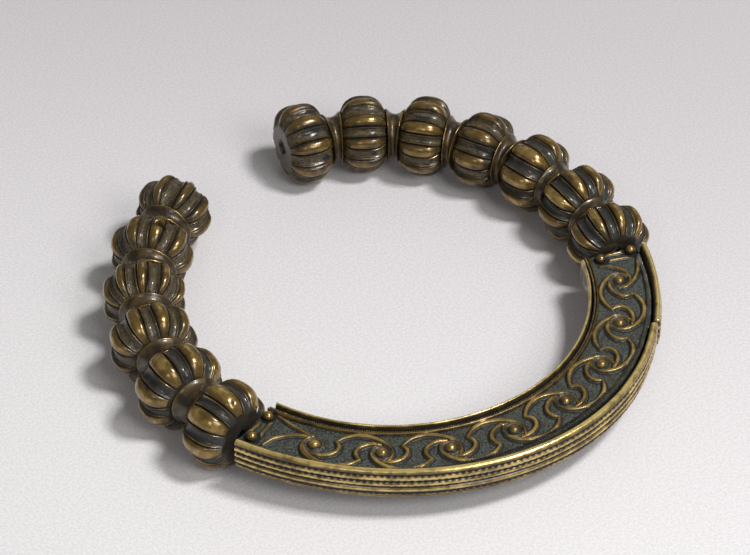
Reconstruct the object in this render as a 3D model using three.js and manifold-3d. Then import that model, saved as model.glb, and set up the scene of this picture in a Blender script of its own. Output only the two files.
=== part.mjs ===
// A beaded neck ring (torc) of copper alloy, lying flat.
//
// A curved bar carries a plate with a scroll pattern in a sunken tray, and four rivets pin
// the plate. From each end of the bar runs an arm of melon beads, with a spool-shaped collar
// between each two beads. The two arms stop short of each other, which leaves the opening.
//
// Millimetres, +Z up. The floor is z = 0, the bar lies towards -Y and the opening towards +Y.

import * as THREE from 'three';
import Module from 'manifold-3d';
import { mergeVertices } from 'three/addons/utils/BufferGeometryUtils.js';

const wasm = await Module();
wasm.setup();

const DEGREE = Math.PI / 180;
const GAP = 0.3; // clearance left between neighbouring pieces

// The ring: the bar's arc is centred here, so that the whole object is centred on the origin.
const RING_CENTRE = { x: -0.928, y: -4.717 };
const RING_RADIUS = 70;

// Beads: ribbed barrels with a full, rounded outline, cut off square at both ends.
const BEAD_RADIUS = 12.7; // over the ribs, at the middle
const BEAD_HALF_LENGTH = 8.7; // where the outline would close on the axis
const BEAD_FULLNESS = 2.6; // 2 would be an ellipse, more is squarer
const BEAD_HALF_CUT = 7.2; // where the two ends are cut off
const BEAD_BANDS = 5;
const CHANNEL_DEPTH = 1.3; // between two ribs, at the middle of the bead
const RIB_SHARE = 0.3; // where a channel starts, as a share of the step from rib to rib
const BEAD_HEIGHT = 12.6; // of the middle above the floor: what reaches lower is worn off flat
const BORE_SIDE = 3.6; // square hole along every bead and collar

// Collars: spools with two flared rims.
const COLLAR_WAIST_RADIUS = 7.0;
const COLLAR_FACE_INSET = 0.7; // how far the face's edge lies inside the rim
const COLLAR_RIM_WIDTH = 1.2;
const COLLAR_SIDES = 12;

// The two arms, walked from the bar to the opening.
// start: centre of the first bead, from the ring's centre; turn: bend from one link to the next.
// sizes, ribs and ribPhases give each bead's girth, its number of ribs and where one rib stands;
// rims gives each collar's rim radius.
const LEFT_ARM = {
  name: 'left',
  startRadius: 73.2,
  startAngle: 193.4,
  heading: 94.4,
  pitch: 21.1,
  firstTurn: -15.1,
  turnGrowth: 0.8,
  sizes: [1.06, 1.075, 1.055, 1.02, 1.035, 0.955],
  ribs: [8, 8, 9, 10, 9, 9],
  ribPhases: [43, 64, 104, 91, 105, 114],
  rims: [8.0, 8.0, 8.6, 8.6, 8.6],
};
const RIGHT_ARM = {
  name: 'right',
  startRadius: 73.6,
  startAngle: 345.9,
  heading: 79.1,
  pitch: 20.3,
  firstTurn: 13.1,
  turnGrowth: 1.4,
  sizes: [1.03, 1.015, 1.01, 1.01, 1.035, 1.0, 1.06],
  ribs: [10, 9, 8, 8, 9, 9, 9],
  ribPhases: [63, 77, 67, 59, 52, 59, 69],
  rims: [7.7, 7.9, 8.7, 8.7, 8.6, 8.5],
};

// The bar, as angles round the ring and distances from its middle line.
// Its right-hand end, and the plate's, run on by a slant for every millimetre outwards.
const BAR = { start: 201.5, end: 337.1, slant: 0.086, bottom: 7.3 };
const SWEEP_STEPS = 28;
const TRAY_FLOOR = 12.2;
const OUTER_RIM = { inside: 9.9, crest: 11.0, outside: 12.1, height: 18.5 };
const INNER_RIM = { inside: -8.75, crest: -9.4, outside: -9.9, height: 17.05 };
const RIM_SWELL = { amount: 1.2, angle: 276, waves: 3.4 }; // the outer rim isn't quite round
const RIM_SPRING = { amount: 0.75, from: 308, to: 314 }; // it has sprung out past a crack
const RIM_CHAMFER = 0.6;
const WALL_TUCK = { side: 1.5, height: 3.0 }; // the foot of the outer wall slopes in
const INNER_TUCK = { side: 1.2, height: 2.5 };

// The plate lies in the tray, a little clear of its walls.
const PLATE = { start: 200.15, end: 339.3, slant: 0.1, inner: -8.35, outer: 8.35, field: 14.9 };
const PLATE_WIDENING = { amount: 0.95, from: 265, to: 332 };
const BORDER = { height: 16.0, innerWidth: 1.6, outerWidth: 1.75, slope: 0.3 };
const SCROLL_FIRST = 216.0; // angle of the first boss
const SCROLL_STEP = 16.03;
const SCROLL_COUNT = 8;
const SCROLL_UNIT = SCROLL_STEP * DEGREE * RING_RADIUS;
const LINE_WIDTH = 1.6;
const LINE_HEIGHT = 1.0;
const BOSS_RADIUS = 1.8;
const BOSS_HEIGHT = 1.55;

// Rivets, as angle and distance from the middle line.
const RIVETS = [
  { name: 'rivet_left_outer', angle: 202.3, offset: 4.9 },
  { name: 'rivet_left_inner', angle: 201.7, offset: -4.6 },
  { name: 'rivet_right_outer', angle: 338.6, offset: 6.8 },
  { name: 'rivet_right_inner', angle: 337.0, offset: -3.4 },
];
const RIVET_HEAD_RADIUS = 1.6;
const RIVET_HEAD_HEIGHT = 1.5;
const RIVET_SHANK_RADIUS = 1.0;
const RIVET_LIFT = 0.7; // of a head's underside above the plate's field
const SHANK_DEPTH = 2; // of the shanks below the tray's floor

const BRASS = new THREE.MeshStandardMaterial({
  name: 'worn brass',
  color: 0x9a7f45,
  roughness: 0.4,
  metalness: 0.9,
});
const DULL_BRASS = new THREE.MeshStandardMaterial({
  name: 'dull brown brass',
  color: 0x6f5d3c,
  roughness: 0.5,
  metalness: 0.85,
});
const DARK_PATINA = new THREE.MeshStandardMaterial({
  name: 'dark patina',
  color: 0x3a342c,
  roughness: 0.55,
  metalness: 0.7,
});

// ---------------------------------------------------------------- solids

// Turns a mesh whose faces all point inwards inside out.
function faceOutwards(geometry) {
  const position = geometry.attributes.position;
  const index = geometry.index;
  const corners = [new THREE.Vector3(), new THREE.Vector3(), new THREE.Vector3()];
  let volume = 0;
  for (let face = 0; face < index.count; face += 3) {
    corners.forEach((corner, k) => corner.fromBufferAttribute(position, index.getX(face + k)));
    volume += corners[0].dot(corners[1].clone().cross(corners[2]));
  }
  if (volume < 0) {
    for (let face = 0; face < index.count; face += 3) {
      const swapped = index.getX(face + 1);
      index.setX(face + 1, index.getX(face + 2));
      index.setX(face + 2, swapped);
    }
  }
  return geometry;
}

// Triangles that fill an outline, each running the same way round as the outline.
function capTriangles(outline) {
  const contour = outline.map(([x, y]) => new THREE.Vector2(x, y));
  const area = THREE.ShapeUtils.area(contour);
  return THREE.ShapeUtils.triangulateShape(contour, []).map(([a, b, c]) => {
    const triangle = [contour[a], contour[b], contour[c]];
    return THREE.ShapeUtils.area(triangle) * area > 0 ? [a, b, c] : [a, c, b];
  });
}

// Closed body through a row of outlines with equal numbers of points.
// place(point, ring) puts a point of an outline into space.
function loft(outlines, place) {
  const count = outlines[0].length;
  const positions = [];
  const indices = [];
  outlines.forEach((outline, ring) => {
    outline.forEach((point) => positions.push(...place(point, ring)));
  });
  for (let ring = 0; ring < outlines.length - 1; ring += 1) {
    for (let corner = 0; corner < count; corner += 1) {
      const a = ring * count + corner;
      const b = ring * count + ((corner + 1) % count);
      indices.push(a, b, b + count, a, b + count, a + count);
    }
  }
  const last = (outlines.length - 1) * count;
  capTriangles(outlines[0]).forEach(([a, b, c]) => indices.push(a, c, b));
  capTriangles(outlines.at(-1)).forEach(([a, b, c]) => indices.push(last + a, last + b, last + c));
  const geometry = new THREE.BufferGeometry();
  geometry.setAttribute('position', new THREE.Float32BufferAttribute(positions, 3));
  geometry.setIndex(indices);
  return faceOutwards(geometry);
}

function toSolid(geometry) {
  const bare = geometry.clone();
  bare.deleteAttribute('normal');
  bare.deleteAttribute('uv');
  const merged = mergeVertices(bare, 1e-4);
  return new wasm.Manifold(new wasm.Mesh({
    numProp: 3,
    vertProperties: new Float32Array(merged.attributes.position.array),
    triVerts: new Uint32Array(merged.index.array),
  }));
}

function toGeometry(solid) {
  const mesh = solid.getMesh();
  const geometry = new THREE.BufferGeometry();
  geometry.setAttribute('position', new THREE.Float32BufferAttribute(mesh.vertProperties, 3));
  geometry.setIndex(Array.from(mesh.triVerts));
  return geometry;
}

// Square hole along X, standing on its corner.
function boreTool() {
  const tool = new THREE.BoxGeometry(4 * BEAD_HALF_LENGTH, BORE_SIDE, BORE_SIDE);
  tool.rotateX(45 * DEGREE);
  return toSolid(tool);
}

// ---------------------------------------------------------------- beads and collars

// Depth of the channels at an angle round the bead: 0 on a rib, 1 between two ribs.
function ribAngles(ribs, phase) {
  const angles = [];
  for (let rib = 0; rib < ribs; rib += 1) {
    const step = 360 / ribs;
    angles.push({ angle: phase + rib * step, depth: 0 });
    angles.push({ angle: phase + (rib + RIB_SHARE) * step, depth: 1 });
    angles.push({ angle: phase + (rib + 1 - RIB_SHARE) * step, depth: 1 });
  }
  return angles;
}

// Share of the full radius that is left at a distance along the bead's axis.
function beadOutline(along) {
  const share = Math.abs(along / BEAD_HALF_LENGTH) ** BEAD_FULLNESS;
  return (1 - share) ** (1 / BEAD_FULLNESS);
}

// Bead along X, centred on its own middle.
function beadSolid(size, ribs, phase) {
  const stations = [];
  for (let band = 0; band <= BEAD_BANDS; band += 1) {
    const swing = (2 * band) / BEAD_BANDS - 1;
    stations.push(BEAD_HALF_CUT * Math.sin(swing * 90 * DEGREE));
  }
  const outlines = stations.map((along) => ribAngles(ribs, phase).map(({ angle, depth }) => {
    const reach = (BEAD_RADIUS * size - CHANNEL_DEPTH * depth) * beadOutline(along);
    return [reach * Math.cos(angle * DEGREE), reach * Math.sin(angle * DEGREE)];
  }));
  const place = ([y, z], ring) => [stations[ring], y, z];
  return toSolid(loft(outlines, place)).subtract(boreTool());
}

// Takes off what would reach below the floor, which leaves a small flat under a bead.
function wornFlat(solid) {
  const depth = 10;
  const below = new THREE.BoxGeometry(4 * BEAD_RADIUS, 4 * BEAD_RADIUS, depth);
  below.translate(0, 0, -BEAD_HEIGHT - depth / 2);
  return toGeometry(solid.subtract(toSolid(below)));
}

// Collar along X. Its two faces lean towards each other on the inside of the bend.
function collarGeometry(halfWidth, rim, lean) {
  const profile = [
    [-halfWidth, rim - COLLAR_FACE_INSET],
    [-halfWidth + COLLAR_RIM_WIDTH / 2, rim],
    [-halfWidth + COLLAR_RIM_WIDTH, COLLAR_WAIST_RADIUS],
    [halfWidth - COLLAR_RIM_WIDTH, COLLAR_WAIST_RADIUS],
    [halfWidth - COLLAR_RIM_WIDTH / 2, rim],
    [halfWidth, rim - COLLAR_FACE_INSET],
  ];
  const outlines = profile.map(([, radius]) => {
    const outline = [];
    for (let side = 0; side < COLLAR_SIDES; side += 1) {
      const angle = (side + 0.5) * (360 / COLLAR_SIDES) * DEGREE;
      outline.push([radius * Math.cos(angle), radius * Math.sin(angle)]);
    }
    return outline;
  });
  const place = ([y, z], ring) => {
    const x = profile[ring][0];
    return [x + (x / halfWidth) * y * Math.tan(lean * DEGREE), y, z];
  };
  return toGeometry(toSolid(loft(outlines, place)).subtract(boreTool()));
}

// Walks an arm: beads with their place and direction, and the links between them.
function walkArm(arm) {
  const count = arm.sizes.length;
  const links = [];
  const beads = [];
  let x = RING_CENTRE.x + arm.startRadius * Math.cos(arm.startAngle * DEGREE);
  let y = RING_CENTRE.y + arm.startRadius * Math.sin(arm.startAngle * DEGREE);
  let heading = arm.heading;
  let turn = arm.firstTurn;
  for (let bead = 0; bead < count; bead += 1) {
    beads.push({ x, y, direction: heading - turn / 2 });
    if (bead < count - 1) {
      const dx = arm.pitch * Math.cos(heading * DEGREE);
      const dy = arm.pitch * Math.sin(heading * DEGREE);
      links.push({ x: x + dx / 2, y: y + dy / 2, direction: heading, bend: turn });
      x += dx;
      y += dy;
      heading += turn;
      turn += arm.turnGrowth;
    }
  }
  return { beads, links };
}

function addMesh(group, name, geometry, material) {
  const mesh = new THREE.Mesh(geometry, material);
  mesh.name = name;
  group.add(mesh);
  return mesh;
}

function addArm(group, arm) {
  const { beads, links } = walkArm(arm);
  beads.forEach((bead, k) => {
    const geometry = wornFlat(beadSolid(arm.sizes[k], arm.ribs[k], arm.ribPhases[k]));
    const mesh = addMesh(group, `bead_${arm.name}_${k + 1}`, geometry, BRASS);
    mesh.position.set(bead.x, bead.y, BEAD_HEIGHT);
    mesh.rotation.z = bead.direction * DEGREE;
  });
  links.forEach((link, k) => {
    const lean = Math.abs(link.bend) / 2;
    const beadReach = BEAD_HALF_CUT * Math.cos(lean * DEGREE);
    const halfWidth = arm.pitch / 2 - beadReach - GAP;
    const geometry = collarGeometry(halfWidth, arm.rims[k], link.bend > 0 ? -lean : lean);
    const mesh = addMesh(group, `collar_${arm.name}_${k + 1}`, geometry, DARK_PATINA);
    mesh.position.set(link.x, link.y, BEAD_HEIGHT);
    mesh.rotation.z = link.direction * DEGREE;
  });
}

// ---------------------------------------------------------------- bar, plate and rivets

// A point given by its angle round the ring, its distance from the middle line and its height.
function onRing(angle, offset, height) {
  const reach = RING_RADIUS + offset;
  return [
    RING_CENTRE.x + reach * Math.cos(angle * DEGREE),
    RING_CENTRE.y + reach * Math.sin(angle * DEGREE),
    height,
  ];
}

// How far the outer rim stands outside or inside its usual place.
function rimSwell(angle) {
  const swell = RIM_SWELL.amount * Math.cos(RIM_SWELL.waves * (angle - RIM_SWELL.angle) * DEGREE);
  const spring = RIM_SPRING.amount
    * THREE.MathUtils.smoothstep(angle, RIM_SPRING.from, RIM_SPRING.to);
  return swell + spring;
}

// Body with one cross-section along the bar, from start to end of the given stretch.
function sweepAlongBar(section, { start, end, slant }) {
  const angles = [];
  for (let step = 0; step <= SWEEP_STEPS; step += 1) {
    angles.push(start + ((end - start) * step) / SWEEP_STEPS);
  }
  const place = ([offset, height], ring) => {
    const shift = slant * (ring / SWEEP_STEPS) * offset;
    return onRing(angles[ring] + shift, offset, height);
  };
  return toSolid(loft(angles.map(section), place));
}

function barSection(angle) {
  const swell = rimSwell(angle);
  const outer = OUTER_RIM;
  const inner = INNER_RIM;
  return [
    [outer.outside + swell - WALL_TUCK.side, BAR.bottom],
    [outer.outside + swell, BAR.bottom + WALL_TUCK.height],
    [outer.outside + swell, outer.height - 2 * RIM_CHAMFER],
    [outer.crest + swell + RIM_CHAMFER, outer.height],
    [outer.crest + swell - RIM_CHAMFER, outer.height],
    [outer.inside + swell, outer.height - 2 * RIM_CHAMFER],
    [outer.inside + swell, TRAY_FLOOR],
    [inner.inside, TRAY_FLOOR],
    [inner.inside, inner.height - RIM_CHAMFER],
    [inner.crest, inner.height],
    [inner.outside, inner.height - RIM_CHAMFER],
    [inner.outside, BAR.bottom + INNER_TUCK.height],
    [inner.outside + INNER_TUCK.side, BAR.bottom],
  ];
}

function plateSection(angle) {
  const widening = PLATE_WIDENING.amount
    * THREE.MathUtils.smoothstep(angle, PLATE_WIDENING.from, PLATE_WIDENING.to);
  const outer = PLATE.outer + widening;
  return [
    [PLATE.inner, TRAY_FLOOR + GAP],
    [PLATE.inner, BORDER.height],
    [PLATE.inner + BORDER.innerWidth, BORDER.height],
    [PLATE.inner + BORDER.innerWidth + BORDER.slope, PLATE.field],
    [outer - BORDER.outerWidth - BORDER.slope, PLATE.field],
    [outer - BORDER.outerWidth, BORDER.height],
    [outer, BORDER.height],
    [outer, TRAY_FLOOR + GAP],
  ];
}

// One S-shaped line of the scroll, as lengths along the bar and distances from its middle line.
// It leaves the next boss, swings along the inner side, turns back sharply at a cusp and runs in
// under the first boss. Its twin is the same line after a half turn.
const SWING = [
  [21.6, 3.1], [22.3, 1.3], [22.2, -0.8], [21.0, -2.9], [18.6, -4.8], [15.7, -5.9],
  [12.9, -6.2], [10.2, -5.7], [8.0, -4.6], [5.9, -2.7],
];
const RETURN = [[5.9, -2.7], [6.9, -1.5], [7.3, 0.1], [6.5, 1.9], [4.7, 3.3], [2.6, 3.9], [0.4, 3.7]];
const TWIN_SHIFT = 0.7; // the half turn's centre lies half this much outside the middle line
const SWING_STEPS = 6;
const RETURN_STEPS = 4;

// A raised line along points on the plate.
function ridge(points, steps, boss, mirrored) {
  const angle = SCROLL_FIRST + SCROLL_STEP * boss;
  const onPlate = points.map(([along, across]) => {
    const turned = mirrored ? [SCROLL_UNIT - along, TWIN_SHIFT - across] : [along, across];
    return new THREE.Vector3(turned[0], turned[1], 0);
  });
  const curve = new THREE.CatmullRomCurve3(onPlate);
  const centres = curve.getSpacedPoints(steps);
  const section = [
    [-LINE_WIDTH / 2, -GAP],
    [-LINE_WIDTH / 3, LINE_HEIGHT],
    [LINE_WIDTH / 3, LINE_HEIGHT],
    [LINE_WIDTH / 2, -GAP],
  ];
  const place = ([side, rise], ring) => {
    const tangent = curve.getTangentAt(ring / steps);
    const along = centres[ring].x - tangent.y * side;
    const across = centres[ring].y + tangent.x * side;
    return onRing(angle + along / (RING_RADIUS * DEGREE), across, PLATE.field + rise);
  };
  return toSolid(loft(centres.map(() => section), place));
}

// Dome of revolution that stands on a short foot or shank.
function dome(radius, height, shankRadius, shankLength, sides) {
  const profile = [[0, -shankLength], [shankRadius, -shankLength], [shankRadius, 0], [radius, 0]]
    .map(([x, y]) => new THREE.Vector2(x, y));
  [30, 60].forEach((rise) => {
    profile.push(new THREE.Vector2(radius * Math.cos(rise * DEGREE), height * Math.sin(rise * DEGREE)));
  });
  profile.push(new THREE.Vector2(0, height));
  const geometry = new THREE.LatheGeometry(profile, sides);
  geometry.rotateX(90 * DEGREE);
  return toSolid(geometry);
}

function plateSolid() {
  let plate = sweepAlongBar(plateSection, PLATE);
  for (let boss = 0; boss < SCROLL_COUNT; boss += 1) {
    const middle = onRing(SCROLL_FIRST + SCROLL_STEP * boss, 0, PLATE.field);
    plate = plate.add(dome(BOSS_RADIUS, BOSS_HEIGHT, BOSS_RADIUS, GAP, 8).translate(middle));
  }
  for (let boss = 0; boss < SCROLL_COUNT - 1; boss += 1) {
    [false, true].forEach((mirrored) => {
      plate = plate.add(ridge(SWING, SWING_STEPS, boss, mirrored));
      plate = plate.add(ridge(RETURN, RETURN_STEPS, boss, mirrored));
    });
  }
  return plate;
}

// Round hole from a given height up through everything above it.
function rivetHole(rivet, bottom, radius) {
  const top = OUTER_RIM.height;
  const hole = new THREE.CylinderGeometry(radius, radius, top - bottom, 12);
  hole.rotateX(90 * DEGREE);
  hole.translate(...onRing(rivet.angle, rivet.offset, (top + bottom) / 2));
  return toSolid(hole);
}

function addBar(group) {
  const holeBottom = TRAY_FLOOR - SHANK_DEPTH;
  const headBase = PLATE.field + RIVET_LIFT;
  let bar = sweepAlongBar(barSection, BAR);
  let plate = plateSolid();
  RIVETS.forEach((rivet) => {
    const hole = rivetHole(rivet, holeBottom, RIVET_SHANK_RADIUS + GAP);
    const seat = rivetHole(rivet, PLATE.field, RIVET_HEAD_RADIUS + GAP);
    bar = bar.subtract(hole);
    plate = plate.subtract(hole).subtract(seat);
  });
  addMesh(group, 'curved_bar', toGeometry(bar), BRASS);
  addMesh(group, 'scroll_plate', toGeometry(plate), DULL_BRASS);
  RIVETS.forEach((rivet) => {
    const shank = headBase - GAP - holeBottom;
    const solid = dome(RIVET_HEAD_RADIUS, RIVET_HEAD_HEIGHT, RIVET_SHANK_RADIUS, shank, 10);
    const mesh = addMesh(group, rivet.name, toGeometry(solid), BRASS);
    mesh.position.set(...onRing(rivet.angle, rivet.offset, headBase));
  });
}

const torc = new THREE.Group();
addBar(torc);
addArm(torc, LEFT_ARM);
addArm(torc, RIGHT_ARM);

export default torc;
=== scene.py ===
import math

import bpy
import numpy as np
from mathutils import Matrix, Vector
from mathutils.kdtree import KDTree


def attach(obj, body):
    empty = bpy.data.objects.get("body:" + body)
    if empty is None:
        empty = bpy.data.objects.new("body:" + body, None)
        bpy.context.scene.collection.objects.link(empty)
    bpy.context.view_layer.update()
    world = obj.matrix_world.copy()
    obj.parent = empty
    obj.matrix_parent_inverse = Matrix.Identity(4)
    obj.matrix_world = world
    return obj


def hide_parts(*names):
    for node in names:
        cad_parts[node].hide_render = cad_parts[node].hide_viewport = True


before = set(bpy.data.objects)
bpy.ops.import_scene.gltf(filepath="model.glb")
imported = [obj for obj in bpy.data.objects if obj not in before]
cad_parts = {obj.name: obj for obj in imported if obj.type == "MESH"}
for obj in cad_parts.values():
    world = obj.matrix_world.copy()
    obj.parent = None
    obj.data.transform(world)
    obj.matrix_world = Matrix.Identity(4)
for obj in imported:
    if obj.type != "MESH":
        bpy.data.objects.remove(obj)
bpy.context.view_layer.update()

# A beaded neck ring (torc) of patinated brass, lying on a pale floor.
#
# Every CAD node is replaced by a finer mesh of the same piece: ribbed beads, spool-shaped
# collars, a curved bar with a roped outer wall, a plate with a scroll pattern, four rivets.
# Lengths are in millimetres in the CAD frame until a mesh is made; angles are in degrees.

MM = 0.001
BODY = "root"
SHARP_ANGLE = 60  # between faces that meet in a sharp edge
NOISE_SHIFT = 40.0  # between the noise of one bead or collar and the next

# ---------------------------------------------------------------- sizes, as in the CAD source

RING_CENTRE = np.array([-0.928, -4.717])
RING_RADIUS = 70
GAP = 0.3

BEAD_RADIUS = 12.7
BEAD_HALF_LENGTH = 8.7
BEAD_FULLNESS = 2.6
BEAD_HALF_CUT = 7.2
BEAD_HEIGHT = 12.6
BORE_SIDE = 3.6

COLLAR_WAIST_RADIUS = 7.0

LEFT_ARM = dict(
    name="left", start_radius=73.2, start_angle=193.4, heading=94.4, pitch=21.1,
    first_turn=-15.1, turn_growth=0.8,
    sizes=[1.06, 1.075, 1.055, 1.02, 1.035, 0.955],
    ribs=[8, 8, 9, 10, 9, 9],
    phases=[43, 64, 104, 91, 105, 114],
    rims=[8.0, 8.0, 8.6, 8.6, 8.6],
    tones=[0.85, 0.75, 0.5, 0.5, 0.35, 0.15],
    deposits=[0.0, 0.6, 0.2, 0.2, 0.3, 0.4],
    necks=[0.0, 0.9, 0.3, 0.3, 0.3, 0.3],
    collar_tones=[0.1, 0.35, 0.5, 0.5, 0.35],
)
RIGHT_ARM = dict(
    name="right", start_radius=73.6, start_angle=345.9, heading=79.1, pitch=20.3,
    first_turn=13.1, turn_growth=1.4,
    sizes=[1.03, 1.015, 1.01, 1.01, 1.035, 1.0, 1.06],
    ribs=[10, 9, 8, 8, 9, 9, 9],
    phases=[63, 77, 67, 59, 52, 59, 69],
    rims=[7.7, 7.9, 8.7, 8.7, 8.6, 8.5],
    tones=[0.8, 0.8, 0.75, 0.2, 0.4, 0.3, 0.2],
    deposits=[0.2, 0.3, 0.6, 1.0, 0.5, 0.5, 0.7],
    necks=[0.2, 0.9, 1.0, 0.6, 0.3, 0.3, 0.3],
    collar_tones=[0.1, 0.0, 0.1, 0.35, 0.35, 0.3],
)

BAR_START = 201.5
BAR_END = 337.1
BAR_END_SLANT = 0.086
BAR_BOTTOM = 7.3
TRAY_FLOOR = 12.2
RIM_SWELL = dict(amount=1.2, angle=276, waves=3.4)
WALL_OFFSET = 12.1
INNER_OFFSET = -9.9
PLATE_INNER = -8.35
PLATE_OUTER = 8.35
PLATE_WIDENING = 0.95  # towards the right-hand end
PLATE_START = 200.15
PLATE_END = 339.3
PLATE_END_SLANT = 0.1
FIELD_HEIGHT = 14.9

CRACK_ANGLE = 311.0  # across the outer rim
CRACK_HALF_WIDTH = 0.15
RIM_SPRING = 0.75  # how far the rim has sprung outwards past the crack

SCROLL_FIRST = 216.0
SCROLL_STEP = 16.03
SCROLL_COUNT = 8
SCROLL_UNIT = math.radians(SCROLL_STEP) * RING_RADIUS

RIVETS = [
    ("rivet_left_outer", 202.3, 4.9),
    ("rivet_left_inner", 201.7, -4.6),
    ("rivet_right_outer", 338.6, 6.8),
    ("rivet_right_inner", 337.0, -3.4),
]
RIVET_RADIUS = 1.6
RIVET_RISE = 1.5
RIVET_SEAT_RADIUS = 2.9  # of the flat place round each head
RIVET_BASE = FIELD_HEIGHT + 0.7


# ---------------------------------------------------------------- small helpers

def smoothstep(low, high, value):
    share = np.clip((value - low) / (high - low), 0, 1)
    return share * share * (3 - 2 * share)


def lattice_noise(points, cell, seed):
    """Smooth noise from -1 to 1 at points (count, 3), with features about one cell across."""
    scaled = np.asarray(points, float) / cell + seed * 17.31
    base = np.floor(scaled).astype(np.int64)
    share = scaled - base
    share = share * share * (3 - 2 * share)
    total = np.zeros(len(scaled))
    for corner in range(8):
        offset = np.array([(corner >> axis) & 1 for axis in range(3)])
        mixed = (base + offset) @ np.array([73856093, 19349663, 83492791])
        mixed = ((mixed ^ (mixed >> 13)) * 1274126177) & 0xFFFFFFFF
        value = ((mixed ^ (mixed >> 16)) % 65536) / 32767.5 - 1
        total += np.prod(np.where(offset, share, 1 - share), axis=1) * value
    return total


def clouds(points, cell, seed, octaves=3):
    """Several sizes of lattice noise on top of each other."""
    total = np.zeros(len(points))
    for octave in range(octaves):
        total += lattice_noise(points, cell / 2 ** octave, seed + octave) / 2 ** octave
    return total / 1.5


def on_ring(angle, offset, height):
    """Points given by angle round the ring, distance from its middle line and height."""
    reach = RING_RADIUS + offset
    turn = np.radians(angle)
    return np.stack(np.broadcast_arrays(
        RING_CENTRE[0] + reach * np.cos(turn), RING_CENTRE[1] + reach * np.sin(turn), height,
    ), axis=-1)


def rim_swell(angle):
    turns = RIM_SWELL["waves"] * (angle - RIM_SWELL["angle"])
    return RIM_SWELL["amount"] * np.cos(np.radians(turns))


def past_crack(angle):
    """0 before the crack across the outer rim, 1 past it."""
    return smoothstep(CRACK_ANGLE - CRACK_HALF_WIDTH, CRACK_ANGLE + CRACK_HALF_WIDTH, angle)


def grid_piece(name, points, marks, material, node, wrap_rows=False):
    """A smooth mesh in place of a CAD node, through a grid of points (rows, columns, 3). It closes
    from the last column to the first. Its rows close into a loop too, or the first and last rows
    are filled as flat ends."""
    rows, columns = points.shape[:2]
    index = np.arange(rows * columns).reshape(rows, columns)
    wrapped = np.hstack([index, index[:, :1]])
    if wrap_rows:
        wrapped = np.vstack([wrapped, wrapped[:1]])
    corners = [wrapped[:-1, :-1], wrapped[:-1, 1:], wrapped[1:, 1:], wrapped[1:, :-1]]
    faces = np.stack(corners, axis=-1).reshape(-1, 4).tolist()
    if not wrap_rows:
        faces += [index[0, ::-1].tolist(), index[-1].tolist()]
    mesh = bpy.data.meshes.new(name)
    mesh.from_pydata((points.reshape(-1, 3) * MM).tolist(), [], faces)
    mesh.update()
    flat = points.reshape(-1, 3)
    a, b, c = (flat[corner.ravel()] for corner in corners[:3])
    if np.einsum("ij,ij->i", a - flat.mean(0), np.cross(b - a, c - a)).sum() < 0:
        mesh.flip_normals()
    mesh.shade_smooth()
    mesh.set_sharp_from_angle(angle=math.radians(SHARP_ANGLE))
    for mark, values in marks.items():
        attribute = mesh.attributes.new(mark, "FLOAT", "POINT")
        attribute.data.foreach_set("value", np.ravel(values).astype(np.float32))
    mesh.materials.append(material)
    piece = bpy.data.objects.new(name, mesh)
    bpy.context.scene.collection.objects.link(piece)
    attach(piece, BODY)
    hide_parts(node)
    return piece


# ---------------------------------------------------------------- materials

def colour(red, green, blue):
    """A colour given as it looks on a screen, 0 to 255, as Blender's linear values."""
    def linear(value):
        share = value / 255
        return share / 12.92 if share <= 0.04045 else ((share + 0.055) / 1.055) ** 2.4
    return (linear(red), linear(green), linear(blue), 1)


# The Mix node's sockets for colours; its sockets for numbers and vectors have the same names.
MIX_COLOUR_A, MIX_COLOUR_B = 6, 7
MIX_COLOUR_RESULT = 2


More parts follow.
